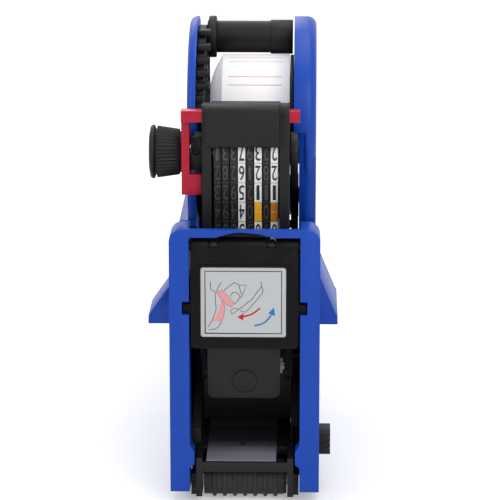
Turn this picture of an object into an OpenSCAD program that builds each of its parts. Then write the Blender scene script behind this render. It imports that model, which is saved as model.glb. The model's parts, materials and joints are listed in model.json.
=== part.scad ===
// Hand-held price labeler: eight number bands in a head that a trigger lever drives down
// onto a label. Depth runs back from the front face, height up from the ground.

/* [Overall] */
// Length from the front face to the end of the handle
overall_l = 200; // [190:1:215]
// Reach of the left guard flare from the mid plane
flare_left = 32.4; // [31.5:0.1:34]
// Reach of the right guard flare from the mid plane
flare_right = 30.4; // [29.5:0.1:34]

/* [Label stock] */
// Width of the backing paper
liner_w = 23; // [20:0.5:24]
// Outer radius of the label roll
roll_r = 21; // [15:0.5:21.2]
// Sideways slip of the outer turns of the roll
roll_slip = 4.2; // [0:0.2:4.4]

/* [Print head] */
// Spacing of the number bands
band_pitch = 2.66; // [2.4:0.02:2.7]
// Width of one number band
band_w = 2.34; // [1.8:0.02:2.36]
// Outer radius of a band wheel
wheel_r = 12.7; // [11:0.1:12.8]
// Height of the type face above the ground at rest
type_z = 44.6; // [43.4:0.1:46]

/* [Lever] */
// Thickness of a lever arm
arm_t = 2.5; // [1.5:0.1:2.6]
// Radius of the lever pivot shaft
pivot_r = 3; // [2:0.1:3.4]
// Width of the trigger lever
lever_w = 24; // [18:0.5:26]

/* [Shells] */
// Wall of the side plates
shell_wall = 3.5; // [2.5:0.1:3.5]
// Radius of the rounded roll chamber
arch_r = 34; // [33.5:0.1:35]
// Rounding of the chamber's outer edge
edge_r = 3; // [1:0.1:3.2]
// Half width of the handle
grip_half_w = 13.5; // [12:0.1:14.5]

/* [Front frame] */
// Height of the front frame
frame_h = 92.7; // [92:0.1:93.4]
// Width of a front wall
frame_wall = 6.4; // [5.5:0.1:7]
// Depth of the front frame
frame_d = 13; // [11:0.1:13.4]

/* [Inking] */
// Radius of the ink roller
ink_r = 6.5; // [5:0.1:6.6]
// Height of the ink cover's lower edge
cover_z0 = 53; // [50:0.5:56]

/* [Applicator] */
// Radius over the ribs of the applicator roller
appl_r = 6; // [5:0.1:6.4]
// Count of ribs on the applicator roller
appl_ribs = 7; // [5:1:8]

/* [Hidden] */
$fn = 48;
gap = 0.3;
fit = 0.08;
band_count = 8;
slip = 0.03;
hinge_fit = 0.08;
// depth and height of the main axes
roll_d = 70;
roll_z = 117;
drive_d = frame_d + 18;
drive_z = 112;
pivot_d = 118;
pivot_z = 78;
ink_d = 4;
ink_z = frame_h - 6;
inkr_d = drive_d - 8.7 - (ink_r - 6.5) * 0.707;
inkr_z = type_z - 3.7 - (ink_r - 6.5) * 0.707;
feed_d = 58;
feed_z = 26;
appl_d = 8.7;
holder_d = roll_d + 30;
holder_z = 118;
floor_d = 97;
floor_z = 6.5;
// side stations
shell_in = 19.5;
shell_out = shell_in + shell_wall;
rim_in = 15.5;
frame_in = 18;
frame_out = frame_in + frame_wall;
head_half = 14.2;
arm_in = head_half + gap;
arm_out = arm_in + arm_t;
upper_in = arm_out + gap;
upper_out = upper_in + 2.9;
step_z = 84;
band_half = band_pitch * band_count / 2;
frame_z0 = 4.2;
roof_t = 2.5;
band_t = 1.2;
nose_r = 4;
nose_half = 1;
nose_cz = type_z + nose_r;
platen_z = 14;
screws = [[floor_d - 1, 14], [72, 50], [92, 100]];
grip_screws = [[overall_l - 38, 97], [overall_l - 13, 92]];

module place() {
  translate([0, -overall_l / 2, 0]) children();
}

// side profile (depth, height) drawn out across the part
module side(x0, x1) {
  translate([x0, 0, 0]) rotate([90, 0, 90]) linear_extrude(height = x1 - x0) children();
}

// front profile (across, height) drawn out in depth
module front(d0, d1) {
  translate([0, d1, 0]) rotate([90, 0, 0]) linear_extrude(height = d1 - d0) children();
}

module rod(d, z, r, x0, x1) {
  translate([x0, d, z]) rotate([0, 90, 0]) cylinder(r = r, h = x1 - x0);
}

module block(x0, x1, d0, d1, z0, z1) {
  translate([x0, d0, z0]) cube([x1 - x0, d1 - d0, z1 - z0]);
}

function unit(v) = v / norm(v);
function left_of(v) = [-v[1], v[0]];

// bar with round ends between two points of a side profile
module bar(p, q, w) {
  n = left_of(unit(q - p)) * w / 2;
  translate(p) circle(r = w / 2);
  translate(q) circle(r = w / 2);
  polygon([p + n, p - n, q - n, q + n]);
}

module round_box(x0, x1, z0, z1, r) {
  translate([x0 + r, z0]) square([x1 - x0 - 2 * r, z1 - z0]);
  translate([x0, z0 + r]) square([x1 - x0, z1 - z0 - 2 * r]);
  for (x = [x0 + r, x1 - r], z = [z0 + r, z1 - r]) translate([x, z]) circle(r = r);
}

// rings [depth, mid height, half width, half height] joined into one smooth body
sides = 28;
function soft(v, e) = sign(v) * pow(abs(v), e);
function ring(s) = [for (i = [0 : sides - 1]) let (a = 360 * i / sides)
  [s[2] * soft(cos(a), 0.72), s[0], s[1] + s[3] * soft(sin(a), 0.72)]];
module loft(st) {
  n = len(st);
  pts = [for (s = st) each ring(s)];
  walls = [for (k = [0 : n - 2], i = [0 : sides - 1]) let (j = (i + 1) % sides)
    each [[k * sides + i, (k + 1) * sides + j, (k + 1) * sides + i],
          [k * sides + i, k * sides + j, (k + 1) * sides + j]]];
  cap0 = [for (i = [1 : sides - 2]) [0, i + 1, i]];
  base = (n - 1) * sides;
  cap1 = [for (i = [1 : sides - 2]) [base, base + i, base + i + 1]];
  polyhedron(points = pts, faces = concat(walls, cap0, cap1));
}

// shells and front frame
heel_d0 = 80;
heel_d1 = floor_d + 7;
notch_d = 42;
notch_z = 66;
// the guard flares: where they start, where each ends and its root height
flare_d0 = 20;
flare_d_left = 39;
flare_d_right = 56;
flare_root_left = 70.6;
flare_root_right = 73;
flare_low = 56;
button_d0 = 15.3;
button_d1 = 24.7;
button_z0 = 11.9;
button_z1 = 20.5;

function grip_st(t, w) = [
  [108 + t, 106, w - t, 8 - t],
  [122, 104, min(20, w - 0.6) - t, 9.5 - t],
  [138, 101, grip_half_w + 1.5 - t, 11.5 - t],
  [138 + (overall_l - 138) * 0.36, 97, grip_half_w - t, 12 - t],
  [138 + (overall_l - 138) * 0.71, 93, grip_half_w - t, 12 - t],
  [overall_l - 6 - t, 90.5, grip_half_w - 1 - t, 11 - t],
  [overall_l - 2 - t, 89.9, grip_half_w - 3.5 - t, 8.5 - t],
  [overall_l - t, 89.7, grip_half_w - 7.5 - t, 5 - t]];

module disc_profile(x0, x1) {
  e = min(edge_r, x1 - x0 - 0.4);
  translate([0, x0]) square([arch_r - e, x1 - x0]);
  translate([0, x0]) square([arch_r, x1 - x0 - e]);
  intersection() {
    translate([arch_r - e, x1 - e]) circle(r = e);
    translate([0, x0]) square([arch_r + 1, x1 - x0]);
  }
}

// side wall below the step, and the part above it with the chamber disc
module shell_body(flare, flare_d1, root_z, x0, x1) {
  translate([0, roll_d, roll_z]) rotate([0, 90, 0]) rotate_extrude() disc_profile(x0, x1);
  side(shell_in, shell_out) polygon([[frame_d, frame_z0], [heel_d0 - 6, frame_z0], [heel_d0, 0],
    [heel_d1, 0], [109, 56], [121, 66.5], [126.5, 74], [126.5, step_z + 2], [frame_d, step_z + 2]]);
  side(x0, x1) polygon([[roll_d - 26, step_z], [126.5, step_z], [119, 101], [108, 114], [103.5, 122],
    [roll_d, roll_z], [38, 108], [notch_d, 92]]);
  side(x0, shell_out) polygon([[notch_d, step_z], [126.5, step_z], [125.8, step_z + 2], [notch_d, step_z + 2]]);
  // back wall and heel meet the other half at the mid plane
  side(0.1, shell_in) polygon([[heel_d1 - 2.5, 0], [heel_d1, 0], [108.6, 52], [106, 52]]);
  front(flare_d0, flare_d1) polygon([[shell_in + 0.5, root_z], [shell_out + 1.2, root_z], [flare - 0.8, flare_low + 4],
    [flare, flare_low + 2.6], [flare, flare_low], [shell_in + 0.5, flare_low]]);
  difference() {
    loft(grip_st(0, x1));
    loft(grip_st(2.5, x1));
    block(-40, 0.1, 100, overall_l + 1, 70, 130);
  }
  // inner rib beside the lever arms
  block(upper_in, shell_in + 0.5, 44.4, 46.6, 56, step_z + 2);
  // return along the back edge, beside the lever pivot
  side(upper_in, shell_in + 0.5) polygon([[106, 51], [108.6, 51], [109, 56], [121, 66.5], [126.5, 74],
    [126.5, step_z + 2], [124.2, step_z + 2], [124.2, 75], [119.6, 68.6], [107.2, 57.6]]);
  for (s = screws) rod(s[0], s[1], 3.2, 0.1, shell_in + 0.5);
  for (s = grip_screws) rod(s[0], s[1], 3.2, 0.1, grip_half_w - 1.4);
  rod(pivot_d, pivot_z, 7, arm_out + gap, shell_in + 0.5);
}

module shell_cuts(flare, flare_d1, x1) {
  rod(pivot_d, pivot_z, pivot_r + slip, 0, shell_out - 0.5);
  rod(holder_d, holder_z, 2 + slip, 0, x1 - 1);
  for (s = screws) rod(s[0], s[1], 1.5 + slip, -1, shell_in + 0.6);
  for (s = grip_screws) rod(s[0], s[1], 1.5 + slip, -1, grip_half_w - 2);
  // hollow under the guard flare
  front(flare_d0 + 2, flare_d1 - 2) polygon([[shell_out, 67], [shell_out + 1.2, 67], [flare - 2.4, flare_low + 2.4],
    [flare - 2, flare_low - 1], [shell_out, flare_low - 1]]);
}

module left_shell() {
  color("#1f4fb4") place() mirror([1, 0, 0]) difference() {
    shell_body(flare_left, flare_d_left, flare_root_left, upper_in, upper_out);
    shell_cuts(flare_left, flare_d_left, upper_out);
    // slot in which the selector rides down with the head
    block(0, shell_out + 0.3, 0, notch_d, notch_z, 91);
  }
}

module right_shell() {
  color("#1f4fb4") place() difference() {
    union() {
      shell_body(flare_right, flare_d_right, flare_root_right, shell_in, shell_out);
      // return along the front edge below the rim
      side(upper_in, shell_in + 0.5) polygon([[roll_d - 26, step_z], [roll_d - 23.4, step_z], [notch_d + 2.4, 92],
        [40.6, 107.4], [roll_d - arch_r + 2.9, roll_z + 1], [roll_d - arch_r + 0.3, roll_z + 1], [38, 108], [notch_d, 92]]);
      difference() {
        translate([0, roll_d, roll_z]) rotate([0, 90, 0]) rotate_extrude()
          translate([arch_r - 2.5, rim_in]) square([2.5, shell_in - rim_in + 0.5]);
        block(0, 30, 0, roll_d, 60, roll_z + 0.4);
        block(0, 30, roll_d - 1, 140, 60, roll_z - 22);
      }
    }
    shell_cuts(flare_right, flare_d_right, shell_out);
    for (s = screws) rod(s[0], s[1], 1.5 + slip, 0, 40);
    for (s = screws) rod(s[0], s[1], 2.8 + slip, shell_out - 1.6, 40);
    for (s = grip_screws) rod(s[0], s[1], 1.5 + slip, 0, 40);
    for (s = grip_screws) rod(s[0], s[1], 2.8 + slip, grip_half_w - 1.9, 40);
    block(shell_in - 1, 30, button_d0 - gap, button_d1 + gap, button_z0 - gap, button_z1 + gap);
  }
}

module shell_screws() {
  color("#b9bcc0") place() {
    for (s = screws) {
      rod(s[0], s[1], 1.5, -12, shell_out - 1.6);
      rod(s[0], s[1], 2.8, shell_out - 1.6, shell_out - 0.2);
    }
    for (s = grip_screws) {
      rod(s[0], s[1], 1.5, -9, grip_half_w - 1.9);
      rod(s[0], s[1], 2.8, grip_half_w - 1.9, grip_half_w - 0.5);
    }
  }
}

roof_d = 7.2;
module front_frame() {
  color("#1f4fb4") place() difference() {
    union() {
      front(0, frame_d) difference() {
        union() {
          round_box(-frame_out, frame_out, 60, frame_h, 4);
          translate([-frame_out, frame_z0]) square([2 * frame_out, 70 - frame_z0]);
        }
        translate([-frame_in, frame_z0 - 1]) square([2 * frame_in, frame_h - roof_t - frame_z0 + 1]);
      }
      // inner lips beside the label exit
      for (s = [-1, 1]) front(0, 6) polygon([[s * (frame_in + 1), 12], [s * frame_in, 12.4],
        [s * 16.5, 13.6], [s * 16.5, 18], [s * frame_in, 20.2], [s * (frame_in + 1), 20.8]]);
    }
    block(-frame_in, frame_in, roof_d, frame_d + 1, 80, frame_h + 1);
    // roof bar falls away to the back
    side(-frame_in, frame_in) polygon([[1.6, frame_h], [frame_d, frame_h - 2.2], [frame_d, frame_h + 2], [1.6, frame_h + 2]]);
    // arched cut under the front of the roof bar
    intersection() {
      translate([0, -1, frame_h - roof_t + 1.6 - 29]) rotate([-90, 0, 0]) cylinder(r = 29, h = 3.4, $fn = 96);
      block(-12, 12, -2, 4, frame_h - roof_t - 0.5, frame_h);
    }
    for (s = [-1, 1]) {
      block(min(s * 17, s * 20.3), max(s * 17, s * 20.3), -1, 5, 64.5, 68.9);
    }
    rod(ink_d, ink_z, 1.5 + slip, -21.5, 21.5);
  }
}

module ink_hinge_pin() {
  color("#b9bcc0") place() rod(ink_d, ink_z, 1.5, -21.4, 21.4);
}

module lever_pivot_shaft() {
  color("#b9bcc0") place() rod(pivot_d, pivot_z, pivot_r, -shell_out + 0.6, shell_out - 0.6);
}

module holder_hinge_pin() {
  color("#b9bcc0") place() rod(holder_d, holder_z, 2, -upper_out + 1.1, shell_out - 1.1);
}

// base frame, nose and feed
bracket_d1 = 18;
strip_x = -1.2;

module base_frame() {
  color("#232527") place() difference() {
    union() {
      for (s = [-1, 1]) {
        side(min(s * 15, s * 18), max(s * 15, s * 18)) polygon([[bracket_d1, 3.8], [floor_d + 4, 3.8],
          [floor_d + 4, 14], [floor_d - 17, 30], [50, 36], [30, 28], [bracket_d1, 20]]);
        rod(36, 20, 4, min(s * 17.5, s * shell_in), max(s * 17.5, s * shell_in));
        rod(86, 16, 4, min(s * 17.5, s * shell_in), max(s * 17.5, s * shell_in));
      }
      block(-15.5, 15.5, bracket_d1, 44, 11.4, platen_z);
      block(-15.5, 15.5, 86, 90, 12, 18);
      // plate that keeps the rising strip away from the head
      block(-15.5, 15.5, 40.2, 41.6, 16.8, 54);
    }
    rod(feed_d, feed_z, 2 + slip, -20, 20);
    rod(floor_d, floor_z, 1.5 + slip, -20, 20);
    rod(screws[0][0], screws[0][1], 3.2 + gap, -20, 20);
    block(15.4, 20, button_d0 - gap, button_d1 + gap, button_z0 - gap, button_z1 + gap);
  }
}

module nose_bracket() {
  color("#1e2022") place() difference() {
    union() {
      block(-16, 16, 0.8, 3, 10.8, 14.1);
      for (s = [-1, 1]) {
        block(min(s * 14, s * 16), max(s * 14, s * 16), 0.8, bracket_d1, 2.2, 15.5);
        block(min(s * 15.9, s * 17.7), max(s * 15.9, s * 17.7), 3, 12.6, 2.2, 9.4);
      }
    }
    rod(appl_d, appl_r, 2 + slip, -20, 20);
    block(-13.9, 13.9, 4, 30, 13.9, 20);
  }
}

module roller_axle() {
  color("#b9bcc0") place() rod(appl_d, appl_r, 2, -17.6, 17.6);
}

module applicator_roller() {
  rib_pitch = 23.5 / appl_ribs;
  color("#2a2c2e") place() difference() {
    union() {
      rod(appl_d, appl_r, appl_r - 0.8, -13.5, 12.9);
      for (i = [0 : appl_ribs - 1]) let (x = (i - (appl_ribs - 1) / 2) * rib_pitch)
        translate([x, appl_d, appl_r]) rotate([0, 90, 0]) rotate_extrude() union() {
          translate([3, -0.7]) square([appl_r - 3.7, 1.4]);
          translate([appl_r - 0.7, 0]) circle(r = 0.7);
        }
    }
    rod(appl_d, appl_r, 2 + hinge_fit, -20, 20);
  }
}

module bottom_cover() {
  color("#1e2022") place() difference() {
    union() {
      block(-14.6, 14.6, 20, floor_d - 4, 1.2, 3.4);
      side(-14.6, 14.6) bar([floor_d - 4, 3.2], [floor_d, floor_z], 4);
      rod(floor_d, floor_z, 2.6, -14.6, 14.6);
      for (s = [-1, 1]) block(s * 13.6 - 1, s * 13.6 + 1, 22, floor_d - 8, 3.3, 8);
      side(8, 13) polygon([[20, 3.3], [23, 3.3], [23, 9.5], [19, 9.5], [20, 7.8]]);
    }
    rod(floor_d, floor_z, 1.5 + hinge_fit, -20, 20);
    for (i = [0 : 5]) block(-9, 9, 28 + i * 4, 29.6 + i * 4, 0, 1.7);
  }
}

module cover_hinge_pin() {
  color("#b9bcc0") place() rod(floor_d, floor_z, 1.5, -17.9, 17.9);
}

module release_button() {
  color("#1e2022") place() difference() {
    side(20.9, 28.2) round_box(button_d0, button_d1, button_z0, button_z1, 1.5);
    for (i = [0 : 2]) block(27.7, 29, 10, 30, button_z0 + 1.9 + i * 2, button_z0 + 2.7 + i * 2);
  }
}

module feed_axle() {
  color("#b9bcc0") place() rod(feed_d, feed_z, 2, -17.9, 17.9);
}

module feed_drum() {
  color("#c8102e") place() difference() {
    union() {
      rod(feed_d, feed_z, 8.2, -11, 11);
      side(strip_x - 2, strip_x + 2) translate([feed_d, feed_z]) polygon([for (i = [0 : 47])
        let (a = i * 7.5, r = (i % 4) < 2 ? 9.3 : 8.1) r * [cos(a), sin(a)]]);
    }
    rod(feed_d, feed_z, 2 + hinge_fit, -20, 20);
  }
}

module ratchet_wheel() {
  color("#8f9296") place() difference() {
    side(11, 12.8) translate([feed_d, feed_z]) polygon([for (i = [0 : 11])
      each [7.4 * [cos(i * 30), sin(i * 30)], 5.6 * [cos(i * 30 + 3), sin(i * 30 + 3)]]]);
    rod(feed_d, feed_z, 2 + hinge_fit, -20, 20);
  }
}

rocker_p = [84, 40];
pawl_p = [69.5, 32.1];
link_p = [84, 75];
module feed_rocker() {
  color("#2a2c2e") place() difference() {
    union() {
      side(13.1, 14.7) union() {
        bar([feed_d, feed_z], rocker_p, 8);
        translate(rocker_p) circle(r = 5);
      }
      rod(pawl_p[0], pawl_p[1], 1.2, 11.1, 13.5);
    }
    rod(feed_d, feed_z, 2 + hinge_fit, 10, 20);
    rod(rocker_p[0], rocker_p[1], 3, 10, 20);
  }
}

module feed_pawl() {
  color("#8f9296") place() difference() {
    side(11.1, 12.8) union() {
      bar(pawl_p, [62.9, 33.7], 2.6);
      translate(pawl_p) circle(r = 2.4);
    }
    rod(pawl_p[0], pawl_p[1], 1.2 + hinge_fit, 10, 20);
  }
}

module feed_link() {
  color("#8f9296") place() difference() {
    union() {
      side(10.9, 12.8) bar(link_p, rocker_p, 6);
      rod(rocker_p[0], rocker_p[1], 1.5, 12, 14.7);
    }
    rod(link_p[0], link_p[1], 1.5 + hinge_fit, 10, 20);
  }
}

module label_strip() {
  r0 = roll_d - roll_r;
  color("#f4f4f6") place() side(strip_x - liner_w / 2, strip_x + liner_w / 2)
    polygon([[r0 - 0.7, roll_z - 1], [47.6, 36], [46.4, 24], [43, 16], [39, 14.15], [2, 14.15], [2, 14.4],
      [38.9, 14.4], [42.8, 16.3], [46.1, 24.1], [47.3, 36], [r0 - 1, roll_z - 1]]);
}

// lever
arm_k = [62, 88];
module arm_plate(x0, x1) {
  side(x0, x1) union() {
    bar([drive_d, drive_z], arm_k, 11);
    bar(arm_k, [pivot_d, pivot_z], 12);
    translate([drive_d, drive_z]) circle(r = 6.6);
    translate([pivot_d, pivot_z]) circle(r = 8);
  }
}

module arm_cuts() {
  rod(drive_d, drive_z, 4.4 + hinge_fit, -30, 30);
  rod(pivot_d, pivot_z, pivot_r + hinge_fit, -30, 30);
  rod(pivot_d - 5.6, pivot_z + 0.5, 1.2 + slip, -30, 30);
}

module lever_arm_left() {
  color("#1e2022") place() difference() {
    union() {
      arm_plate(-arm_out, -arm_in);
      block(-18.2, -arm_in, drive_d - 7.4, drive_d - 4.6, drive_z - 4.6, drive_z + 6.4);
    }
    arm_cuts();
    // eye in the front of the arm
    translate([-16.3, drive_d - 5.6, drive_z + 1.7]) rotate([90, 0, 0]) cylinder(r = 1.4, h = 3);
  }
}

module lever_arm_right() {
  color("#1e2022") place() difference() {
    union() {
      arm_plate(arm_in, arm_out);
      rod(link_p[0], link_p[1], 1.5, 10.9, arm_in + 0.5);
      translate([0, link_p[0], 0]) block(arm_in, arm_out, -4, 4, link_p[1] - 3, link_p[1] + 5);
    }
    arm_cuts();
  }
}

module lever_rivet() {
  color("#b9bcc0") place() rod(pivot_d - 5.6, pivot_z + 0.5, 1.2, -arm_out, arm_out);
}

module trigger_lever() {
  hw = lever_w / 2;
  color("#1f4fb4") place() difference() {
    union() {
      rod(pivot_d, pivot_z, 7.5, -arm_in, arm_in);
      side(-hw + 2, hw - 2) bar([pivot_d, pivot_z], [130, 66], 13);
      loft([[120, 70, hw - 3, 6], [126, 67.4, hw, 7.4], [140, 62, hw, 7], [overall_l - 35, 54, hw, 6.5],
        [overall_l - 12, 46.5, hw - 0.5, 6], [overall_l - 6, 44.5, hw - 2, 4.6], [overall_l - 3, 43.7, hw - 5, 2.6]]);
    }
    rod(pivot_d, pivot_z, pivot_r + hinge_fit, -30, 30);
    rod(pivot_d - 5.6, pivot_z + 0.5, 1.2 + slip, -30, 30);
  }
}

spring_d = 146;
lever_top = [[126, 74.8], [140, 69], [overall_l - 35, 60.5], [overall_l - 12, 52.5]];
grip_under = [[122, 94.5], [138, 89.5], [138 + (overall_l - 138) * 0.36, 85], [138 + (overall_l - 138) * 0.71, 81]];
spring_z0 = lookup(spring_d, lever_top) + 0.64;
spring_z1 = lookup(spring_d, grip_under) - 0.687;
coil_r = 4.2;
wire_r = 0.5;
turns = 6;
module return_spring() {
  steps = turns * 8;
  rise = (spring_z1 - spring_z0 - 2 * wire_r) / steps;
  pts = [for (k = [0 : steps]) let (a = k * 45, c = [cos(a), sin(a)]) for (j = [0 : 5])
    let (b = j * 60) [c[0] * (coil_r + wire_r * cos(b)), c[1] * (coil_r + wire_r * cos(b)),
      wire_r + k * rise + wire_r * sin(b)]];
  walls = [for (k = [0 : steps - 1], j = [0 : 5]) let (m = (j + 1) % 6)
    each [[k * 6 + j, (k + 1) * 6 + m, (k + 1) * 6 + j], [k * 6 + j, k * 6 + m, (k + 1) * 6 + m]]];
  cap0 = [for (j = [1 : 4]) [0, j + 1, j]];
  cap1 = [for (j = [1 : 4]) [steps * 6, steps * 6 + j, steps * 6 + j + 1]];
  echo(curl_gap = 8 * rise - 2 * wire_r);
  color("#b9bcc0") place() translate([0, spring_d, spring_z0])
    polyhedron(points = pts, faces = concat(walls, cap0, cap1));
}

// print head
nose_f = [drive_d - nose_half, nose_cz];
nose_b = [drive_d + nose_half, nose_cz];
// points where a straight run leaves the wheel circle and meets the nose circle
function run_normal(c, r1, r2, s) = let (v = c - [drive_d, drive_z], l = norm(v), k = (r1 - r2) / l)
  v / l * k + s * left_of(v / l) * sqrt(1 - k * k);
module loop_2d(r1, r2) {
  nf = run_normal(nose_f, r1, r2, -1);
  nb = run_normal(nose_b, r1, r2, 1);
  w = [drive_d, drive_z];
  translate(w) circle(r = r1);
  translate(nose_f) circle(r = r2);
  translate(nose_b) circle(r = r2);
  polygon([w + r1 * nf, nose_f + r2 * nf, nose_f + [0, -r2], nose_b + [0, -r2],
    nose_b + r2 * nb, w + r1 * nb]);
}

function band_x(n) = (n - (band_count + 1) / 2) * band_pitch;
module band(n) {
  x = band_x(n);
  place() side(x - band_w / 2, x + band_w / 2) difference() {
    loop_2d(wheel_r + 0.1 + band_t, nose_r);
    loop_2d(wheel_r + 0.1, nose_r - band_t);
  }
}

module wheel(n) {
  x = band_x(n);
  place() difference() {
    rod(drive_d, drive_z, wheel_r, x - band_w / 2, x + band_w / 2);
    rod(drive_d, drive_z, 4.2, x - 5, x + 5);
    for (a = [0 : 60 : 300]) rod(drive_d + 8.4 * cos(a), drive_z + 8.4 * sin(a), 2, x - 5, x + 5);
  }
}

module number_band_1() { color("#26282a") band(1); }
module number_band_2() { color("#26282a") band(2); }
module number_band_3() { color("#26282a") band(3); }
module number_band_4() { color("#f0f0ee") band(4); }
module number_band_5() { color("#26282a") band(5); }
module number_band_6() { color("#f0f0ee") band(6); }
module number_band_7() { color("#26282a") band(7); }
module number_band_8() { color("#f0f0ee") band(8); }
module band_wheel_1() { color("#d8d8d4") wheel(1); }
module band_wheel_2() { color("#d8d8d4") wheel(2); }
module band_wheel_3() { color("#d8d8d4") wheel(3); }
module band_wheel_4() { color("#d8d8d4") wheel(4); }
module band_wheel_5() { color("#d8d8d4") wheel(5); }
module band_wheel_6() { color("#d8d8d4") wheel(6); }
module band_wheel_7() { color("#d8d8d4") wheel(7); }
module band_wheel_8() { color("#d8d8d4") wheel(8); }

head_d0 = drive_d - 14.8;
head_d1 = drive_d + 15.5;
head_z0 = 84;
head_z1 = 130.2;
guide_d0 = drive_d - 14;
guide_d1 = drive_d - 9.5;
guide_z0 = 124.5;
guide_z1 = 128.3;
module cheek_2d() {
  intersection() {
    round_box(head_d0, head_d1, head_z0, head_z1, 3);
    polygon([[head_d0, head_z0], [head_d1, head_z0], [head_d1, head_z1 - 17], [head_d0 + 6, head_z1], [head_d0, head_z1]]);
  }
}

module nose_cheek_2d() {
  translate([drive_d - 4, nose_cz]) square([8, head_z0 - nose_cz + 4]);
  translate([drive_d, nose_cz]) circle(r = 3.2);
}

module head_housing() {
  color("#1e2022") place() difference() {
    union() {
      side(-head_half, -11.2) cheek_2d();
      side(11, 11.8) cheek_2d();
      side(-12.3, -11) nose_cheek_2d();
      side(11, 11.8) nose_cheek_2d();
      side(11.5, 12.3) difference() {
        nose_cheek_2d();
        translate([0, head_z0 - gap]) square([80, 60]);
      }
      block(-11.4, 11.2, head_d1 - 2, head_d1, head_z0 + 2, head_z0 + 11);
      block(-11.4, 11.2, head_d0, drive_d - 6, head_z1 - 1.6, head_z1);
      rod(drive_d, drive_z, 4.4, -arm_out, -head_half + 0.5);
    }
    rod(drive_d, drive_z, 2.9, -40, -10);
    rod(drive_d, drive_z, 4.2, 10, 12);
    block(-20, 20, guide_d0 - gap, guide_d1 + gap, guide_z0 - gap, guide_z1 + gap);
  }
}

module head_right_plate() {
  color("#1e2022") place() difference() {
    union() {
      side(11.8, head_half) cheek_2d();
      rod(drive_d, drive_z, 4.4, head_half - 0.5, arm_out);
    }
    block(11, 20, guide_d0 - gap, guide_d1 + gap, guide_z0 - gap, guide_z1 + gap);
  }
}

module head_front_panel() {
  color("#26282a") place() side(-13, 11) polygon([[head_d0 - 2, 116.8], [head_d0, 116.8],
    [head_d0, head_z1], [head_d0 - 1, head_z1], [head_d0 - 2, head_z1 - 0.9]]);
}

module band_nose() {
  color("#3a3c3e") place() side(-11, 11) union() {
    translate(nose_f) circle(r = nose_r - band_t - 0.1);
    translate(nose_b) circle(r = nose_r - band_t - 0.1);
    translate([drive_d - 3.4, nose_cz]) square([6.8, 12]);
    translate([drive_d - 1, nose_cz - 2.7]) square([2, 3]);
  }
}

// selector
module digit_pointer() {
  color("#c8102e") place() difference() {
    union() {
      side(-21.1, -18.5) let (e = min(drive_d + 4.6, roll_d - arch_r - 0.6)) polygon([[drive_d - 11, drive_z - 12.2],
        [drive_d - 6.5, drive_z - 12.2], [e, drive_z - 6], [e, drive_z + 6], [guide_d1 + 2.5, drive_z + 12],
        [guide_d1, guide_z1], [guide_d0, guide_z1], [guide_d0, guide_z0], [drive_d - 11, guide_z0]]);
      block(-21.1, 17.6, guide_d0, guide_d1, guide_z0, guide_z1);
      block(-21.1, -14.5, drive_d - 11, drive_d - 7.8, drive_z - 12.2, drive_z - 5.4);
    }
    rod(drive_d, drive_z, 2.6 + hinge_fit, -40, 0);
  }
}

module selector_shaft() {
  x = band_x(band_count);
  color("#b9bcc0") place() {
    rod(drive_d, drive_z, 2.6, -29, 10.2);
    rod(drive_d, drive_z, 3.9, x - 0.8, x + 0.8);
  }
}

knob_x = 21.4;
// ribbed grip that narrows from its cap to the housing
module knob_ribs(x0, x1, r0, r1) {
  ribs = 40;
  translate([x0, drive_d, drive_z]) rotate([90, 0, 90]) linear_extrude(height = x1 - x0, scale = r1 / r0)
    polygon([for (i = [0 : 2 * ribs - 1])
      let (a = i * 180 / ribs, q = (i % 2) == 0 ? r0 : r0 - 0.6) q * [cos(a), sin(a)]]);
}

module selector_knob() {
  color("#1e2022") place() difference() {
    union() {
      knob_ribs(-29.5, -knob_x - 0.7, 8.7, 7.6);
      rod(drive_d, drive_z, 7.7, -30.2, -29.4);
      rod(drive_d, drive_z, 6.8, -knob_x - 0.8, -knob_x);
    }
    rod(drive_d, drive_z, 2.6 + slip, -29.1, 0);
  }
}

module knob_cap() {
  color("#1e2022") place() translate([-30.2, drive_d, drive_z]) rotate([0, -90, 0]) rotate_extrude()
    polygon([[0, 0], [8.6, 0], [8.9, 0.3], [8.9, 1], [8.4, 1.5], [6.4, 1.9], [0, 2.1]]);
}

// label roll and its swinging holder
tube_d = roll_d + 8;
tube_z = roll_z + 26;
plate_x0 = -arm_out;
plate_x1 = -14.6;
module roll_holder() {
  c = [roll_d, roll_z];
  color("#26282a") place() difference() {
    union() {
      side(plate_x0, plate_x1) difference() {
        union() {
          difference() {
            translate(c) circle(r = 31);
            translate(c) circle(r = 25);
            translate([0, roll_z - 60]) square([150, 60]);
          }
          translate(c) circle(r = 12);
          bar(c, [holder_d, holder_z], 9);
          bar(c, [tube_d, tube_z], 8);
        }
        translate([0, roll_z - 20]) square([45.5, 27]);
      }
      // grip bars round the front edge, longer where they stand clear over the head
      for (k = [1 : 5]) let (z = roll_z + 7.4 + 3.8 * k, d = roll_d - sqrt(32 * 32 - pow(z - roll_z, 2)))
        block(plate_x0, z > head_z1 + 1.2 ? -12.7 : plate_x1, d - 1.4, d + 3, z - 1, z + 1);
      rod(holder_d, holder_z, 3.4, plate_x0, 14.9);
      // spindle for the roll's core
      rod(roll_d, roll_z, core_r - 0.15, plate_x1 - 1, 11.4);
    }
    rod(holder_d, holder_z, 2 + hinge_fit, -30, 30);
    rod(roll_d, roll_z, core_r - 2.2, plate_x1 + 1, 12);
  }
}

module roll_cross_tube() {
  color("#26282a") place() {
    rod(tube_d, tube_z, 5.5, plate_x1, 7.2);
    rod(tube_d, tube_z, 5.9, 7.2, 14.9);
  }
}

core_r = 9.55;
roll_x = -13.2;
module roll_core() {
  color("#b08d62") place() difference() {
    rod(roll_d, roll_z, core_r + 1, roll_x, roll_x + liner_w);
    rod(roll_d, roll_z, core_r, roll_x - 1, 20);
  }
}

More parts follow.
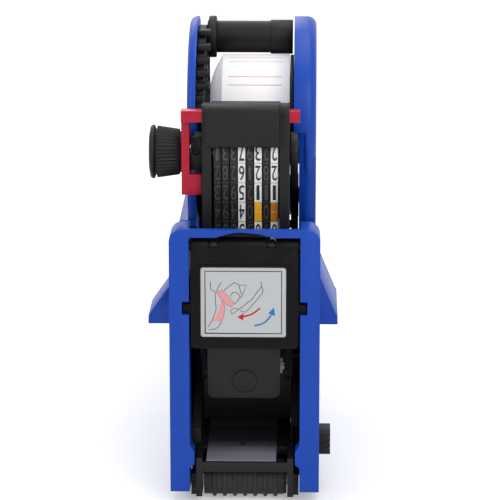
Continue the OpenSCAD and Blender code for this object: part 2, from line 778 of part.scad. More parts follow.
module label_roll() {
  color("#f4f4f6") place() translate([0, roll_d, roll_z]) rotate([0, 90, 0]) rotate_extrude()
    polygon([[core_r + 1, roll_x], [roll_r, roll_x + roll_slip], [roll_r, roll_x + roll_slip + liner_w],
      [core_r + 1, roll_x + liner_w]]);
}

// inking
ears = [[-11.4, -9], [7.3, 9.7]];
module ink_cover() {
  color("#1e2022") place() difference() {
    union() {
      rod(ink_d, ink_z, 2.9, -17.6, 17.6);
      front(0.9, 3.3) round_box(-17.5, 17.5, cover_z0, ink_z - 0.2, 1.5);
      front(0.3, 1.2) difference() {
        round_box(-15.2, 14.4, cover_z0 + 3, ink_z - 5.5, 1.6);
        round_box(-14.4, 13.6, cover_z0 + 3.8, ink_z - 6.3, 1);
      }
      // lugs that snap into the notches of the front walls
      for (s = [-1, 1]) block(min(s * 17.3, s * 20), max(s * 17.3, s * 20), 1.2, 3.3, 64.8, 67.7);
    }
    for (e = ears) block(e[0] - gap, e[1] + gap, -1, 8, ink_z - 4.7, ink_z + 4.3);
    rod(ink_d, ink_z, 1.5 + hinge_fit, -30, 30);
  }
}

module ink_label() {
  color("#c4c8ca") place() front(0.72, 0.9) round_box(-14.2, 13.4, cover_z0 + 4, ink_z - 6.5, 0.8);
}

module ink_carrier() {
  color("#232527") place() difference() {
    union() {
      for (e = ears) {
        rod(ink_d, ink_z, 2.2, e[0], e[1]);
        block(e[0], e[1], ink_d - 0.2, ink_d + 2.2, ink_z - 10.7, ink_z);
      }
      intersection() {
        front(3, 10) round_box(-12.2, 11.5, 34.6, ink_z - 6.7, 2.4);
        side(-13, 13) polygon([[3.8, ink_z - 5.7], [6.2, ink_z - 5.7], [6.2, 47], [8.8, 34], [6.4, 34], [3.8, 47]]);
      }
      front(4.4, 6.8) round_box(-14.7, 14.7, 52.5, 60, 1);
      for (s = [-1, 1]) side(min(s * 12.7, s * 14.7), max(s * 12.7, s * 14.7)) union() {
        bar([7.9, 55.5], [inkr_d, inkr_z], 7);
        translate([inkr_d, inkr_z]) circle(r = 4.5);
      }
    }
    rod(ink_d, ink_z, 1.5 + hinge_fit, -30, 30);
    rod(inkr_d, inkr_z, 1.5 + slip, -30, 30);
    translate([-0.1, 5.4, 40.9]) rotate([101.3, 0, 0]) difference() {
      cylinder(r = 4.4, h = 1);
      translate([0, 0, -1]) cylinder(r = 3.7, h = 3);
    }
  }
}

module ink_axle() {
  color("#b9bcc0") place() rod(inkr_d, inkr_z, 1.5, -14.6, 14.6);
}

module ink_roller_core() {
  color("#d8d8d4") place() difference() {
    rod(inkr_d, inkr_z, 2.6, -12.2, 12.2);
    rod(inkr_d, inkr_z, 1.5 + hinge_fit, -20, 20);
  }
}

module ink_roller() {
  color("#2b2340") place() difference() {
    rod(inkr_d, inkr_z, ink_r, -11, 11);
    rod(inkr_d, inkr_z, 2.6, -20, 20);
  }
}

left_shell();
right_shell();
shell_screws();
front_frame();
ink_hinge_pin();
lever_pivot_shaft();
holder_hinge_pin();
base_frame();
nose_bracket();
roller_axle();
applicator_roller();
bottom_cover();
cover_hinge_pin();
release_button();
feed_axle();
feed_drum();
ratchet_wheel();
feed_rocker();
feed_pawl();
feed_link();
label_strip();
lever_arm_left();
lever_arm_right();
lever_rivet();
trigger_lever();
return_spring();
number_band_1();
number_band_2();
number_band_3();
number_band_4();
number_band_5();
number_band_6();
number_band_7();
number_band_8();
band_wheel_1();
band_wheel_2();
band_wheel_3();
band_wheel_4();
band_wheel_5();
band_wheel_6();
band_wheel_7();
band_wheel_8();
head_housing();
head_right_plate();
head_front_panel();
band_nose();
digit_pointer();
selector_shaft();
selector_knob();
knob_cap();
roll_holder();
roll_cross_tube();
roll_core();
label_roll();
ink_cover();
ink_label();
ink_carrier();
ink_axle();
ink_roller_core();
ink_roller();
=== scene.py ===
import bpy
import json
from math import atan2, cos, hypot, pi, radians, sin
from mathutils import Matrix, Vector


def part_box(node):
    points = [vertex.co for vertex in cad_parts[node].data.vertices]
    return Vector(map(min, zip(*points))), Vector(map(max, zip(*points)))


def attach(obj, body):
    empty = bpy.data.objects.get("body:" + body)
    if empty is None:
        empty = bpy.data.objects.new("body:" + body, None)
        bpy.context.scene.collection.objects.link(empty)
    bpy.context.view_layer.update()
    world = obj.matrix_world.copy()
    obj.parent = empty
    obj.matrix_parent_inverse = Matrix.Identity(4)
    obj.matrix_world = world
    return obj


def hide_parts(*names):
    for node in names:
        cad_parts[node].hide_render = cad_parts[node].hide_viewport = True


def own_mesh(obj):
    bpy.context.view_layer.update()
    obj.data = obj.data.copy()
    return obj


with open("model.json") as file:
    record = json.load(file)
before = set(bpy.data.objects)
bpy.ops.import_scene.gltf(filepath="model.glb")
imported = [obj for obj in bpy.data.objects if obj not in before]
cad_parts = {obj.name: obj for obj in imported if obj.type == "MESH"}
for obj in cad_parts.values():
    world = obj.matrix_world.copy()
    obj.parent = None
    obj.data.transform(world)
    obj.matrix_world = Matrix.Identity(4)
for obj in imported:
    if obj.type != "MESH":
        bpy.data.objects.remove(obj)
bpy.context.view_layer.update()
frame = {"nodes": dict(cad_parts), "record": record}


# Studio and camera: a pale paper sweep, a broad front box, a side fill, a top box and a back box.
# The camera stands straight in front of the nose and looks down a little, with a long lens.
def linear(code):
    parts = [int(code[i:i + 2], 16) / 255 for i in (1, 3, 5)]
    return [p / 12.92 if p <= 0.04045 else ((p + 0.055) / 1.055) ** 2.4 for p in parts] + [1.0]


def add_node(tree, kind, values={}, links={}, **settings):
    node = tree.nodes.new(kind)
    for key, value in settings.items():
        setattr(node, key, value)
    for key, value in values.items():
        node.inputs[key].default_value = value
    for key, (source, output) in links.items():
        tree.links.new(source.outputs[output], node.inputs[key])
    return node


def seen_as_is(tree):
    path = add_node(tree, "ShaderNodeLightPath")
    through = {0: (path, "Is Camera Ray"), 1: (path, "Is Transmission Ray")}
    seen = add_node(tree, "ShaderNodeMath", {}, through, operation="MAXIMUM")
    mirrored = {0: (seen, "Value"), 1: (path, "Is Glossy Ray")}
    return add_node(tree, "ShaderNodeMath", {}, mirrored, operation="MAXIMUM")


scene = bpy.context.scene
scene.view_settings.view_transform = "Standard"
aim = Vector((0.0011, -0.070, 0.0788))
camera_az, camera_el, camera_far = radians(1.3), radians(14), 0.822
out = Vector((sin(camera_az) * cos(camera_el), -cos(camera_az) * cos(camera_el), sin(camera_el)))
eye = aim + camera_far * out
bpy.ops.object.select_all(action="DESELECT")
bpy.ops.object.camera_add(location=eye, rotation=(aim - eye).to_track_quat("-Z", "Y").to_euler())
scene.camera = bpy.context.object
scene.camera.data.lens = 177.4
scene.camera.data.sensor_width = 36

for name, spot, size, watts in (
        ("front_box", (0.50, -1.25, 0.85), 0.9, 8.2),
        ("side_fill", (-1.15, -0.75, 0.75), 0.8, 4.0),
        ("top_box", (0.1, 0.05, 1.35), 0.9, 7.0),
        ("back_box", (-0.4, 1.2, 0.9), 0.8, 4.0)):
    toward = Vector((0, -0.02, 0.07)) - Vector(spot)
    bpy.ops.object.light_add(type="AREA", location=spot, rotation=toward.to_track_quat("-Z", "Y").to_euler())
    lamp = bpy.context.object
    lamp.name = name
    lamp.data.size = size
    lamp.data.energy = watts

world = bpy.data.worlds.new("white_room")
scene.world = world
world.use_nodes = True
tree = world.node_tree
sky = tree.nodes["Background"]
seen = seen_as_is(tree)
level = add_node(tree, "ShaderNodeMapRange", {"To Min": 0.5, "To Max": 1.0}, {"Value": (seen, "Value")})
sky.inputs["Color"].default_value = (1, 1, 1, 1)
tree.links.new(level.outputs["Result"], sky.inputs["Strength"])

paper_sweep = bpy.data.materials.new("white_paper_sweep")
paper_sweep.use_nodes = True
tree = paper_sweep.node_tree
face = tree.nodes["Principled BSDF"]
face.inputs["Base Color"].default_value = linear("#E6E6E6")
face.inputs["Roughness"].default_value = 0.9
lift = add_node(tree, "ShaderNodeMath", {1: 0.32}, {0: (seen_as_is(tree), "Value")}, operation="MULTIPLY")
face.inputs["Emission Color"].default_value = (1, 1, 1, 1)
tree.links.new(lift.outputs["Value"], face.inputs["Emission Strength"])
bpy.ops.object.select_all(action="DESELECT")
bpy.ops.mesh.primitive_plane_add(size=8, location=(0, 0, -0.0002))
floor = bpy.context.object
floor.name = "paper_floor"
floor.data.materials.append(paper_sweep)


# Side shells and front frame: the two half shells with roll chamber and handle, and the face frame.
# Blue ABS, injection moulded, satin from a spark-textured mould; screwed together through bosses.
# The mould texture is finer than a pixel, so it is drawn at 0.9 mm to show as a soft break in the gloss.
# The arch in the roof bar is cut deeper here than in the solid.
crease = radians(34)


def moulded(name, dark, light, rough, grain, depth, shine=0.25):
    mat = bpy.data.materials.new(name)
    mat.use_nodes = True
    tree = mat.node_tree
    skin = tree.nodes["Principled BSDF"]
    skin.inputs["IOR"].default_value = 1.52
    skin.inputs["Specular IOR Level"].default_value = shine
    place = add_node(tree, "ShaderNodeTexCoord")
    on_piece = {"Vector": (place, "Object")}
    flow = add_node(tree, "ShaderNodeTexNoise", {"Scale": 1 / 0.028, "Detail": 3.0}, on_piece)
    fine = add_node(tree, "ShaderNodeTexNoise", {"Scale": 1 / grain, "Detail": 2.0}, on_piece)
    both = {"Color1": linear(dark), "Color2": linear(light)}
    tint = add_node(tree, "ShaderNodeMixRGB", both, {"Fac": (flow, "Fac")})
    spread = {"From Min": 0.25, "From Max": 0.75, "To Min": rough - 0.05, "To Max": rough + 0.07}
    gloss = add_node(tree, "ShaderNodeMapRange", spread, {"Value": (fine, "Fac")})
    relief = add_node(tree, "ShaderNodeBump", {"Strength": 0.35, "Distance": depth}, {"Height": (fine, "Fac")})
    tree.links.new(tint.outputs["Color"], skin.inputs["Base Color"])
    tree.links.new(gloss.outputs["Result"], skin.inputs["Roughness"])
    tree.links.new(relief.outputs["Normal"], skin.inputs["Normal"])
    return mat


def pick(piece):
    bpy.ops.object.select_all(action="DESELECT")
    piece.select_set(True)
    bpy.context.view_layer.objects.active = piece


def rounded(node, name, edge, mat, steps=2, limit=38):
    piece = bpy.data.objects.new(name, frame["nodes"][node].data.copy())
    bpy.context.collection.objects.link(piece)
    pick(piece)
    bpy.ops.object.mode_set(mode="EDIT")
    bpy.ops.mesh.select_all(action="SELECT")
    bpy.ops.mesh.remove_doubles(threshold=2e-6)
    bpy.ops.mesh.dissolve_limited(angle_limit=radians(0.6))
    bpy.ops.object.mode_set(mode="OBJECT")
    if edge:
        bpy.ops.object.modifier_add(type="BEVEL")
        bevel = piece.modifiers[-1]
        bevel.width = edge
        bevel.segments = steps
        bevel.limit_method = "ANGLE"
        bevel.angle_limit = radians(limit)
        bevel.miter_outer = "MITER_ARC"
        bevel.use_clamp_overlap = True
        bpy.ops.object.modifier_apply(modifier=bevel.name)
    bpy.ops.object.shade_smooth_by_angle(angle=crease)
    piece.data.materials.clear()
    piece.data.materials.append(mat)
    for body, members in frame["record"]["behaviour"]["bodies"].items():
        if node in members:
            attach(piece, body)
    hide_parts(node)
    return piece


def apply_place(piece):
    pick(piece)
    bpy.ops.object.transform_apply(location=True, rotation=True, scale=True)


def cut_with(piece, cutter, how):
    pick(piece)
    bpy.ops.object.modifier_add(type="BOOLEAN")
    piece.modifiers[-1].object = cutter
    piece.modifiers[-1].operation = how
    bpy.ops.object.modifier_apply(modifier=piece.modifiers[-1].name)
    bpy.data.objects.remove(cutter)


arch_x, arch_r, arch_top, bar_under = -0.0012, 0.0162, 0.0920, 0.09025


def arch_disc(radius, thick, middle):
    bpy.ops.object.select_all(action="DESELECT")
    bpy.ops.mesh.primitive_cylinder_add(vertices=128, radius=radius, depth=thick, rotation=(pi / 2, 0, 0),
                                        location=(arch_x, middle, arch_top - arch_r))
    disc = bpy.context.object
    apply_place(disc)
    return disc


abs_blue = moulded("abs_moulded_blue", "#0A3EA4", "#1047AE", 0.38, 0.0009, 0.00004)
rounded("left_shell", "left_shell_moulding", 0.0005, abs_blue)
rounded("right_shell", "right_shell_moulding", 0.0005, abs_blue)
frame_face = rounded("front_frame", "front_frame_moulding", 0.0006, abs_blue)
cut_with(frame_face, arch_disc(arch_r, 0.0034, -0.0993), "DIFFERENCE")
bpy.ops.object.shade_smooth_by_angle(angle=crease)
rounded("trigger_lever", "trigger_lever_moulding", 0.0008, abs_blue)


# Shell screws: five pan-head thread-forming screws driven in from the right side.
# Zinc-plated steel, cold headed with a cross recess; they sit in counterbores of the right shell.
zinc_steel = bpy.data.materials.new("zinc_plated_steel")
zinc_steel.use_nodes = True
tree = zinc_steel.node_tree
skin = tree.nodes["Principled BSDF"]
skin.inputs["Base Color"].default_value = linear("#C4C6C9")
skin.inputs["Metallic"].default_value = 1.0
place = add_node(tree, "ShaderNodeTexCoord")
drawn = add_node(tree, "ShaderNodeTexNoise", {"Scale": 1 / 0.0012, "Detail": 3.0}, {"Vector": (place, "Object")})
gloss = add_node(tree, "ShaderNodeMapRange", {"To Min": 0.24, "To Max": 0.46}, {"Value": (drawn, "Fac")})
relief = add_node(tree, "ShaderNodeBump", {"Strength": 0.25, "Distance": 0.00002}, {"Height": (drawn, "Fac")})
tree.links.new(gloss.outputs["Result"], skin.inputs["Roughness"])
tree.links.new(relief.outputs["Normal"], skin.inputs["Normal"])


def join(pieces, name):
    bpy.ops.object.select_all(action="DESELECT")
    for piece in pieces:
        piece.select_set(True)
    bpy.context.view_layer.objects.active = pieces[0]
    if len(pieces) > 1:
        bpy.ops.object.join()
    pieces[0].name = name
    return pieces[0]


def dress(piece, mat, slot, body, *nodes):
    piece.data.materials.clear()
    piece.data.materials.append(mat)
    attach(piece, body)
    if nodes:
        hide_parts(*nodes)


def ease_edges(piece, width, segments=2):
    pick(piece)
    bpy.ops.object.modifier_add(type="BEVEL")
    piece.modifiers[-1].width = width
    piece.modifiers[-1].segments = segments
    piece.modifiers[-1].limit_method = "ANGLE"
    bpy.ops.object.modifier_apply(modifier=piece.modifiers[-1].name)


def round_bar(radius, thick, middle, sides):
    bpy.ops.object.select_all(action="DESELECT")
    bpy.ops.mesh.primitive_cylinder_add(vertices=sides, radius=radius, depth=thick, location=middle,
                                        rotation=(0, pi / 2, 0))
    piece = bpy.context.object
    apply_place(piece)
    return piece


def block(middle, size, turn=0.0):
    bpy.ops.object.select_all(action="DESELECT")
    bpy.ops.mesh.primitive_cube_add(size=1, location=middle, rotation=(turn, 0, 0), scale=size)
    piece = bpy.context.object
    apply_place(piece)
    return piece


head_r, head_tall, shank_r, shank_long, recess_turn = 0.0028, 0.0014, 0.0015, 0.02, 0.4
screws = []
for depth, height in ((-0.004, 0.014), (-0.028, 0.050), (-0.008, 0.100), (0.062, 0.097), (0.087, 0.092)):
    top = max(v.co.x for v in frame["nodes"]["shell_screws"].data.vertices
              if abs(v.co.y - depth) < 0.004 and abs(v.co.z - height) < 0.004)
    head = round_bar(head_r, head_tall, (top - head_tall / 2, depth, height), 40)
    ease_edges(head, 0.0005, 3)
    for turn in (recess_turn, recess_turn + pi / 2):
        cut_with(head, block((top, depth, height), (0.0018, 0.0032, 0.0007), turn), "DIFFERENCE")
    shank = round_bar(shank_r, shank_long, (top - head_tall - shank_long / 2, depth, height), 20)
    screws.append(join([head, shank], "screw"))
screws = join(screws, "cross_recess_screws")
bpy.ops.object.shade_smooth_by_angle(angle=crease)
dress(screws, zinc_steel, "steel", "body", "shell_screws")


# Base and nose: the base frame with its platen, the nose bracket, the bottom cover and its push button.
# Black ABS, moulded with a fine matt grain; the bracket clips to the base and carries the applicator roller.
abs_black = moulded("abs_moulded_matt_black", "#0E0F10", "#151617", 0.5, 0.0007, 0.00005)
rounded("base_frame", "base_frame_moulding", 0.0003, abs_black)
rounded("nose_bracket", "nose_bracket_moulding", 0.0004, abs_black)
rounded("bottom_cover", "bottom_cover_moulding", 0.0004, abs_black)
rounded("release_button", "release_button_moulding", 0.0005, abs_black, 3)


def finish_node(node, mat):
    for place in frame["nodes"][node].material_slots:
        place.material = mat


for node in ("lever_pivot_shaft", "holder_hinge_pin", "roller_axle", "cover_hinge_pin", "feed_axle"):
    finish_node(node, zinc_steel)


# Applicator roller: the ribbed roller under the nose that presses the label on.
# Black nitrile rubber moulded on its axle, dull and slightly grey where it is handled.
# The collar at its right end is made here; the solid lacks it.
rubber_black = bpy.data.materials.new("nitrile_rubber_black")
rubber_black.use_nodes = True
tree = rubber_black.node_tree
skin = tree.nodes["Principled BSDF"]
skin.inputs["Roughness"].default_value = 0.72
skin.inputs["Specular IOR Level"].default_value = 0.4
place = add_node(tree, "ShaderNodeTexCoord")
dust = add_node(tree, "ShaderNodeTexNoise", {"Scale": 1 / 0.004, "Detail": 5.0}, {"Vector": (place, "Object")})
greys = {"Color1": linear("#191A1B"), "Color2": linear("#2E3032")}
tint = add_node(tree, "ShaderNodeMixRGB", greys, {"Fac": (dust, "Fac")})
relief = add_node(tree, "ShaderNodeBump", {"Strength": 0.4, "Distance": 0.00006}, {"Height": (dust, "Fac")})
tree.links.new(tint.outputs["Color"], skin.inputs["Base Color"])
tree.links.new(relief.outputs["Normal"], skin.inputs["Normal"])
rounded("applicator_roller", "applicator_roller_rubber", 0.0003, rubber_black)
roller_low, roller_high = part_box("applicator_roller")
roller_mid = [(roller_low[i] + roller_high[i]) / 2 for i in range(3)]
collar_thick = 0.0008
collar_at = (roller_high[0] + collar_thick / 2, roller_mid[1], roller_mid[2])
collar = round_bar(0.0050, collar_thick, collar_at, 40)
collar.name = "applicator_roller_collar"
ease_edges(collar, 0.0003)
bpy.ops.object.shade_smooth_by_angle(angle=crease)
dress(collar, rubber_black, "roller_rubber", "applicator")


# Label feed: the toothed drum on its axle with a ratchet wheel, pawl, rocker and the link from the lever.
# Drum and rocker are moulded plastic; ratchet, pawl and link are blanked from steel sheet.
abs_red = moulded("abs_moulded_red", "#A60E2A", "#B81431", 0.28, 0.0012, 0.00003)
acetal_white = moulded("acetal_moulded_white", "#CFCFC8", "#DEDED8", 0.42, 0.0008, 0.00003)
rounded("feed_drum", "feed_drum_moulding", 0.0002, abs_black)
rounded("feed_rocker", "feed_rocker_moulding", 0.0003, abs_black)
for node in ("ratchet_wheel", "feed_pawl", "feed_link"):
    rounded(node, node + "_blank", 0.00015, zinc_steel)


# Lever arms and return spring: two black arms riveted to the blue lever, pushed back by a coil spring.
# The arms are moulded in black ABS; the spring is wound from 1 mm spring-steel wire.
rounded("lever_arm_right", "lever_arm_right_moulding", 0.0005, abs_black)
rounded("lever_arm_left", "lever_arm_left_moulding", 0.0005, abs_black)
finish_node("lever_rivet", zinc_steel)
coil_low, coil_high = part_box("return_spring")
coil_mid = [(coil_low[i] + coil_high[i]) / 2 for i in range(3)]
wire, turns, spring_top = 0.0005, 6, 0.0872
coil_r = (coil_high[0] - coil_low[0]) / 2 - wire
rise = (coil_high[2] - coil_low[2] - 2 * wire) / turns
bpy.ops.object.select_all(action="DESELECT")
bpy.ops.mesh.primitive_circle_add(vertices=12, radius=wire * 0.96, location=(coil_r, 0, 0),
                                  rotation=(pi / 2, 0, 0))
spring = bpy.context.object
spring.name = "return_spring_coil"
apply_place(spring)
bpy.ops.object.modifier_add(type="SCREW")
wind = spring.modifiers[-1]
wind.axis = "Z"
wind.screw_offset = rise
wind.iterations = turns
wind.steps = wind.render_steps = 36
wind.use_merge_vertices = False
bpy.ops.object.modifier_apply(modifier=wind.name)
bpy.ops.object.mode_set(mode="EDIT")
bpy.ops.mesh.select_all(action="SELECT")
bpy.ops.mesh.fill_holes(sides=12)
bpy.ops.mesh.normals_make_consistent(inside=False)
bpy.ops.object.mode_set(mode="OBJECT")
spring.location = (coil_mid[0], coil_mid[1], coil_low[2] + wire)
apply_place(spring)
bpy.ops.object.shade_smooth_by_angle(angle=radians(50))
dress(spring, zinc_steel, "steel", "body", "return_spring")
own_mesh(spring)


# Print head: housing, right plate and front panel that carry the number wheels on one hollow axle.
# Black ABS, snapped together round the wheels; the panel's top edge is a plain ledge.
rounded("head_housing", "head_housing_moulding", 0.0003, abs_black)
rounded("head_right_plate", "head_right_plate_moulding", 0.0004, abs_black)
rounded("head_front_panel", "head_front_panel_moulding", 0.0005, abs_black, 3)
finish_node("band_nose", rubber_black)
for number in range(1, 9):
    finish_node("band_wheel_%d" % number, acetal_white)


# Number bands: eight endless type bands over the wheels and the nose, three white and five black.
# Moulded rubber with raised upside-down figures, one cell every 6.8 mm, parted by thin ribs.
# Two white bands have one coloured blank cell; figures on black bands are black on black.
def vulcanised(name, dark, light, rough):
    mat = bpy.data.materials.new(name)
    mat.use_nodes = True
    tree = mat.node_tree
    skin = tree.nodes["Principled BSDF"]
    skin.inputs["Roughness"].default_value = rough
    skin.inputs["Specular IOR Level"].default_value = 0.4
    place = add_node(tree, "ShaderNodeTexCoord")
    on_piece = {"Vector": (place, "Object")}
    smear = add_node(tree, "ShaderNodeTexNoise", {"Scale": 1 / 0.0022, "Detail": 4.0}, on_piece)
    both = {"Color1": linear(dark), "Color2": linear(light)}
    tint = add_node(tree, "ShaderNodeMixRGB", both, {"Fac": (smear, "Fac")})
    relief = add_node(tree, "ShaderNodeBump", {"Strength": 0.3, "Distance": 0.00004}, {"Height": (smear, "Fac")})
    tree.links.new(tint.outputs["Color"], skin.inputs["Base Color"])
    tree.links.new(relief.outputs["Normal"], skin.inputs["Normal"])
    return mat


band_black = vulcanised("type_rubber_black", "#0A0A0A", "#121211", 0.6)
band_white = vulcanised("type_rubber_white", "#EDECE8", "#FAF9F6", 0.55)
figure_ink = vulcanised("type_figure_inked", "#141416", "#26262A", 0.5)
figure_black = vulcanised("type_figure_worn_black", "#2C2A27", "#5A554C", 0.45)
cell_yellow = vulcanised("type_rubber_yellow", "#F2AE0A", "#FBBF1C", 0.5)
cell_brown = vulcanised("type_rubber_orange_brown", "#B46C0C", "#D08A18", 0.5)
cell_line = vulcanised("type_rib_grey", "#8F8D88", "#A9A7A1", 0.6)

wheel_at, wheel_out = Vector((-0.069, 0.112)), 0.0140
nose_front, nose_out = Vector((-0.070, 0.0486)), 0.0040
band_pitch, band_wide, cell = 0.00266, 0.00234, 0.00678


def run_normal(centre, turn):
    along = centre - wheel_at
    far = along.length
    along = along / far
    lean = (wheel_out - nose_out) / far
    return along * lean + turn * Vector((-along.y, along.x)) * (1 - lean * lean) ** 0.5


front_n = run_normal(nose_front, -1)
front_top, front_end = wheel_at + wheel_out * front_n, nose_front + nose_out * front_n
front_run = (front_end - front_top).length
front_down = (front_end - front_top) / front_run
lead = atan2(front_n.y, front_n.x)


def on_band(s):
    if s < 0:
        turn = lead + s / wheel_out
        normal = Vector((cos(turn), sin(turn)))
        return wheel_at + wheel_out * normal, normal, Vector((-normal.y, normal.x))
    return front_top + s * front_down, front_n, front_down


figure_wide, one_wide, figure_tall, figure_thick = 0.00172, 0.00100, 0.0051, 0.00022
glyphs = {}
for figure in "0123456789":
    bpy.ops.object.select_all(action="DESELECT")
    bpy.ops.object.text_add()
    text = bpy.context.object
    text.data.body = figure
    text.data.align_x = "CENTER"
    text.data.align_y = "CENTER"
    text.data.size = 1
    text.data.extrude = 0.02
    text.data.resolution_u = 4
    bpy.ops.object.convert(target="MESH")
    low = [min(v.co[i] for v in text.data.vertices) for i in range(3)]
    high = [max(v.co[i] for v in text.data.vertices) for i in range(3)]
    size = (one_wide if figure == "1" else figure_wide, figure_tall, figure_thick)
    text.data.transform(Matrix.Translation([-(low[i] + high[i]) / 2 for i in range(3)]))
    text.data.transform(Matrix.Diagonal([size[i] / (high[i] - low[i]) for i in range(3)] + [1]))
    glyphs[figure] = text.data.copy()
    bpy.data.objects.remove(text)


def stand(piece, across, s, proud):
    spot, normal, down = on_band(s)
    right = Vector((-1, 0, 0))
    tall = Vector((0, down.x, down.y))
    out = Vector((0, normal.x, normal.y))
    turn = Matrix((right, tall, out)).transposed().to_4x4()
    piece.data.transform(Matrix.Translation(Vector((across, spot.x, spot.y)) + out * proud) @ turn)


def thin_plate(name, across, s, wide, tall, thick, proud):
    bpy.ops.object.select_all(action="DESELECT")
    bpy.ops.mesh.primitive_cube_add(size=1)
    plate = bpy.context.object
    plate.name = name
    plate.data.transform(Matrix.Diagonal((wide, tall, thick, 1)))
    ease_edges(plate, thick * 0.3)
    stand(plate, across, s, proud)
    return plate


first_cell = -0.00453
orders = {1: "1234567890", 2: "3829045167", 3: "3294870615", 4: "7654321098",
          5: "9120563478", 6: "32100987654", 7: "2810937465", 8: "22100987654"}
for number in range(1, 9):
    across = (number - 4.5) * band_pitch
    white = number in (4, 6, 8)
    finish_node("number_band_%d" % number, band_white if white else band_black)
    figures, ribs, blanks = [], [], []
    for row in range(9):
        s = first_cell + row * cell
        if s > front_run - 0.003:
            break
        ribs.append(thin_plate("rib", across, s + cell / 2, band_wide * 0.94, 0.00022, 0.00014, 0.00003))
        if number in (6, 8) and row == 3:
            for half in (-0.245, 0.245):
                blanks.append(thin_plate("blank", across, s + half * cell, band_wide * 0.98, cell * 0.46,
                                         0.0003, 0.00008))
            continue
        glyph = bpy.data.objects.new("figure", glyphs[orders[number][row]].copy())
        bpy.context.collection.objects.link(glyph)
        stand(glyph, across, s, 0.00006)
        figures.append(glyph)
    slot = "white_band" if white else "black_band"
    dress(join(figures, "band_%d_figures" % number), figure_ink if white else figure_black, slot, "print_head")
    dress(join(ribs, "band_%d_ribs" % number), cell_line if white else figure_black, slot, "print_head")
    if blanks:
        tone = cell_yellow if number == 6 else cell_brown
        dress(join(blanks, "band_%d_blank_cell" % number), tone, slot, "print_head")


# Selector: the ribbed knob with its cap and shaft, and the bracket that shows which wheel it drives.
# Knob and cap are black ABS pressed on a steel shaft; the bracket is glossy red ABS.
rounded("digit_pointer", "digit_pointer_moulding", 0.0007, abs_red, 3)
rounded("selector_knob", "selector_knob_moulding", 0.00015, abs_black)
rounded("knob_cap", "knob_cap_moulding", 0.0003, abs_black)
finish_node("selector_shaft", zinc_steel)


# Label roll: a web of self-adhesive labels wound on a card core, its turns slipped to one side.
# Coated paper on a glassine liner; thin pale red rules are printed across every label.
label_paper = bpy.data.materials.new("label_paper_ruled")
label_paper.use_nodes = True
tree = label_paper.node_tree
skin = tree.nodes["Principled BSDF"]
skin.inputs["Roughness"].default_value = 0.62
place = add_node(tree, "ShaderNodeTexCoord")
part = add_node(tree, "ShaderNodeSeparateXYZ", {}, {"Vector": (place, "Object")})
roll_y, roll_z, roll_r = -0.030, 0.117, 0.021
deep = add_node(tree, "ShaderNodeMath", {0: roll_y}, {1: (part, "Y")}, operation="SUBTRACT")
tall = add_node(tree, "ShaderNodeMath", {1: roll_z}, {0: (part, "Z")}, operation="SUBTRACT")
turn = add_node(tree, "ShaderNodeMath", {}, {0: (tall, "Value"), 1: (deep, "Value")}, operation="ARCTAN2")
girth = add_node(tree, "ShaderNodeMath", {1: roll_r}, {0: (turn, "Value")}, operation="MULTIPLY")
reach = add_node(tree, "ShaderNodeVectorMath", {}, {}, operation="LENGTH")
flat = add_node(tree, "ShaderNodeCombineXYZ", {}, {"Y": (deep, "Value"), "Z": (tall, "Value")})
tree.links.new(flat.outputs["Vector"], reach.inputs[0])
rim = add_node(tree, "ShaderNodeMath", {1: roll_r - 0.0003}, {0: (reach, "Value")}, operation="GREATER_THAN")
mid = add_node(tree, "ShaderNodeMath", {1: 0.0022}, {0: (part, "X")}, operation="SUBTRACT")
half = add_node(tree, "ShaderNodeMath", {}, {0: (mid, "Value")}, operation="ABSOLUTE")
inside = add_node(tree, "ShaderNodeMath", {1: 0.0091}, {0: (half, "Value")}, operation="LESS_THAN")
masks = []
for offset in (0.0030, 0.0064):
    shift = add_node(tree, "ShaderNodeMath", {1: offset}, {0: (girth, "Value")}, operation="SUBTRACT")
    saw = add_node(tree, "ShaderNodeMath", {1: 0.01127, 2: 0.0}, {0: (shift, "Value")}, operation="WRAP")
    masks.append(add_node(tree, "ShaderNodeMath", {1: 0.00032}, {0: (saw, "Value")}, operation="LESS_THAN"))
rules = {i: (mask, "Value") for i, mask in enumerate(masks)}
either = add_node(tree, "ShaderNodeMath", {}, rules, operation="MAXIMUM")
ruled = add_node(tree, "ShaderNodeMath", {}, {0: (either, "Value"), 1: (inside, "Value")}, operation="MULTIPLY")
ruled = add_node(tree, "ShaderNodeMath", {}, {0: (ruled, "Value"), 1: (rim, "Value")}, operation="MULTIPLY")
fibre = add_node(tree, "ShaderNodeTexNoise", {"Scale": 1 / 0.0015, "Detail": 4.0}, {"Vector": (place, "Object")})
whites = {"Color1": linear("#F8F8FA"), "Color2": linear("#FFFFFF")}
sheet = add_node(tree, "ShaderNodeMixRGB", whites, {"Fac": (fibre, "Fac")})
printed = {"Fac": (ruled, "Value"), "Color1": (sheet, "Color")}
tint = add_node(tree, "ShaderNodeMixRGB", {"Color2": linear("#DC8C9C")}, printed)
tree.links.new(tint.outputs["Color"], skin.inputs["Base Color"])

core_card = moulded("card_tube_raw", "#A5825A", "#B8946A", 0.8, 0.0012, 0.00008)
finish_node("roll_core", core_card)
core_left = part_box("label_roll")[0][0]
core_out = 0.01055
verts = [v.co for v in frame["nodes"]["label_roll"].data.vertices]
rim_x = [v.x for v in verts if hypot(v.y - roll_y, v.z - roll_z) > roll_r - 0.0004]
label_wide = max(rim_x) - min(rim_x)
rim_left = min(rim_x)
web, outline = 0.00027, []
turns = int((roll_r - core_out) / web)
for turn in range(turns):
    inner, outer = core_out + turn * web, core_out + (turn + 1) * web
    share = turn / (turns - 1)
    left = core_left + (rim_left - core_left) * share ** 1.6 + 0.00012 * sin(turn * 2.4) * (1 - share)
    if turn == turns - 1:
        left, outer = rim_left, roll_r - 0.00002
    outline += [(left, inner), (left, outer)]
right_side = [(left + label_wide, r) for left, r in outline]
outline = outline + right_side[::-1]


